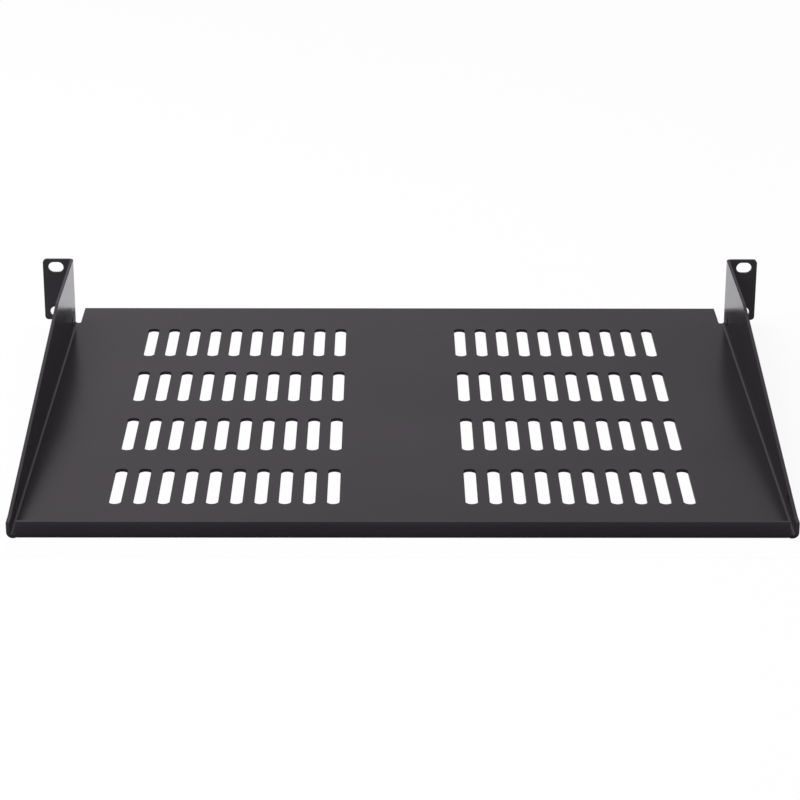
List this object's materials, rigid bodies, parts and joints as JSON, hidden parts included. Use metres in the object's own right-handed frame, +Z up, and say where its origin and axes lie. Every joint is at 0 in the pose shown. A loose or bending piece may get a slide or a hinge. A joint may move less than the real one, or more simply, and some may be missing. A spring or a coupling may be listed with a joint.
{
  "type": "rack shelf",
  "caption": "Vented fixed shelf for a 19-inch rack, one unit high, folded from one black powder-coated steel sheet with tapering side walls, a low rear lip and slotted mounting ears",
  "frame": {"origin": "middle of the footprint, on the plane of the floor's underside", "axes": "+X across the rack, the width over the mounting ears; +Y towards the front of the rack, along the tray's depth; +Z up, square to the tray's floor"},
  "size_m": [0.4826, 0.378, 0.0465],
  "materials": {
    "powder_coat": "fine-textured satin black powder coat on steel sheet"
  },
  "bodies": {
    "root": {"shelf": "powder_coat"}
  },
  "joints": []
}
